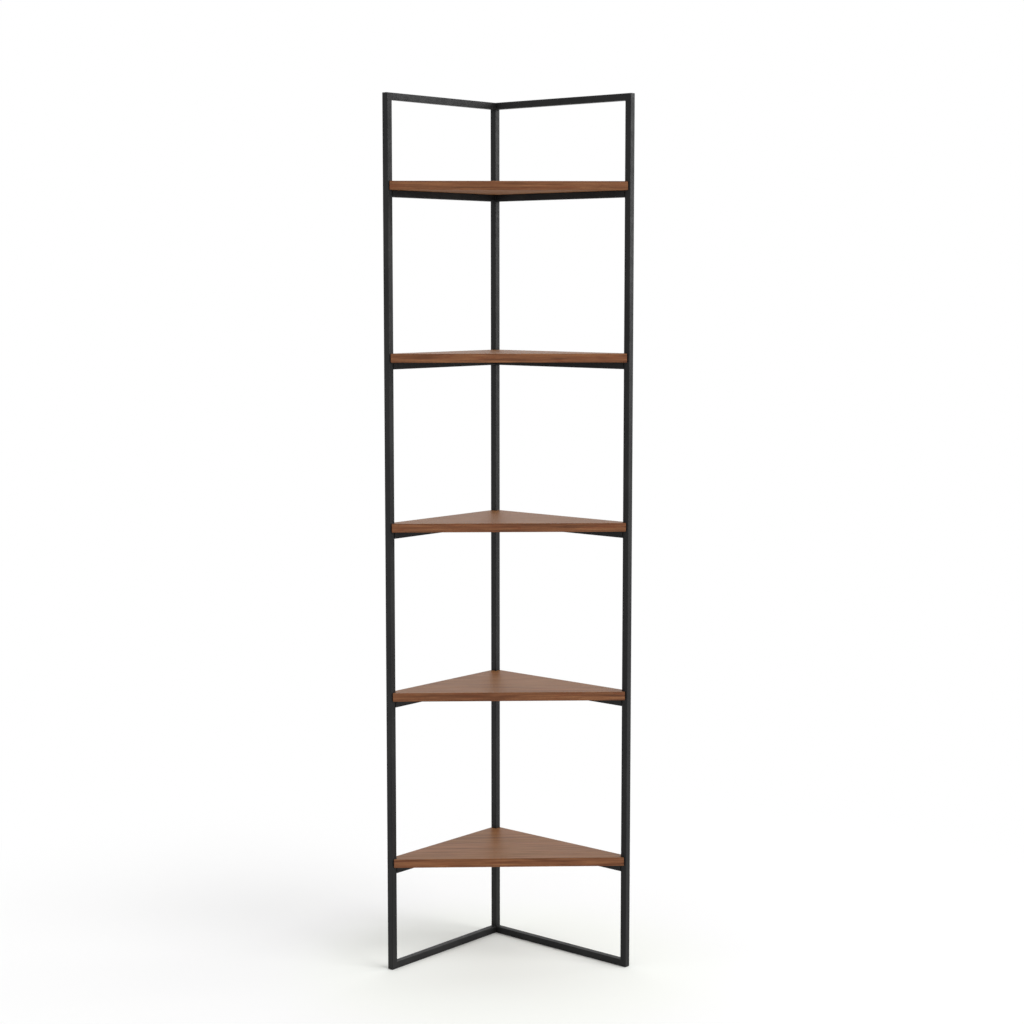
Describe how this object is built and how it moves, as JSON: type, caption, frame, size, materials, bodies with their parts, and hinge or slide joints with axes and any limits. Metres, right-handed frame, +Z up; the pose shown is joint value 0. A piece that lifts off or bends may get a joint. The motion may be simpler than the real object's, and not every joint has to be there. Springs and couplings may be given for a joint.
{
  "type": "corner shelf unit",
  "caption": "Tall corner shelf unit: triangular wooden shelves with straight front edges, carried on a welded frame of black square steel tube that follows two walls.",
  "frame": {"origin": "on the floor, at the middle of the frame's rectangular footprint", "axes": "+Z up; +Y towards the back wall of the room and -X towards its side wall, so the corner post is at -X +Y and the open front looks towards +X -Y"},
  "size_m": [0.372, 0.342, 1.8],
  "materials": {
    "frame_steel": "black powder coat, matt with a slight sheen",
    "shelf_wood": "brown stained board with a satin lacquer, grain along the front edge",
    "screw_steel": "blackened steel",
    "glide_plastic": "black moulded plastic"
  },
  "bodies": {
    "root": {"corner_post": "frame_steel", "side_post": "frame_steel", "back_post": "frame_steel", "side_top_rail": "frame_steel", "back_top_rail": "frame_steel", "side_base_rail": "frame_steel", "back_base_rail": "frame_steel", "side_shelf_rail_1": "frame_steel", "side_shelf_rail_2": "frame_steel", "side_shelf_rail_3": "frame_steel", "side_shelf_rail_4": "frame_steel", "side_shelf_rail_5": "frame_steel", "back_shelf_rail_1": "frame_steel", "back_shelf_rail_2": "frame_steel", "back_shelf_rail_3": "frame_steel", "back_shelf_rail_4": "frame_steel", "back_shelf_rail_5": "frame_steel", "shelf_1": "shelf_wood", "shelf_2": "shelf_wood", "shelf_3": "shelf_wood", "shelf_4": "shelf_wood", "shelf_5": "shelf_wood", "shelf_1_screw_side_near": "screw_steel", "shelf_1_screw_side_far": "screw_steel", "shelf_1_screw_back_near": "screw_steel", "shelf_1_screw_back_far": "screw_steel", "shelf_2_screw_side_near": "screw_steel", "shelf_2_screw_side_far": "screw_steel", "shelf_2_screw_back_near": "screw_steel", "shelf_2_screw_back_far": "screw_steel", "shelf_3_screw_side_near": "screw_steel", "shelf_3_screw_side_far": "screw_steel", "shelf_3_screw_back_near": "screw_steel", "shelf_3_screw_back_far": "screw_steel", "shelf_4_screw_side_near": "screw_steel", "shelf_4_screw_side_far": "screw_steel", "shelf_4_screw_back_near": "screw_steel", "shelf_4_screw_back_far": "screw_steel", "shelf_5_screw_side_near": "screw_steel", "shelf_5_screw_side_far": "screw_steel", "shelf_5_screw_back_near": "screw_steel", "shelf_5_screw_back_far": "screw_steel", "corner_glide": "glide_plastic", "side_glide": "glide_plastic", "back_glide": "glide_plastic"}
  },
  "joints": []
}
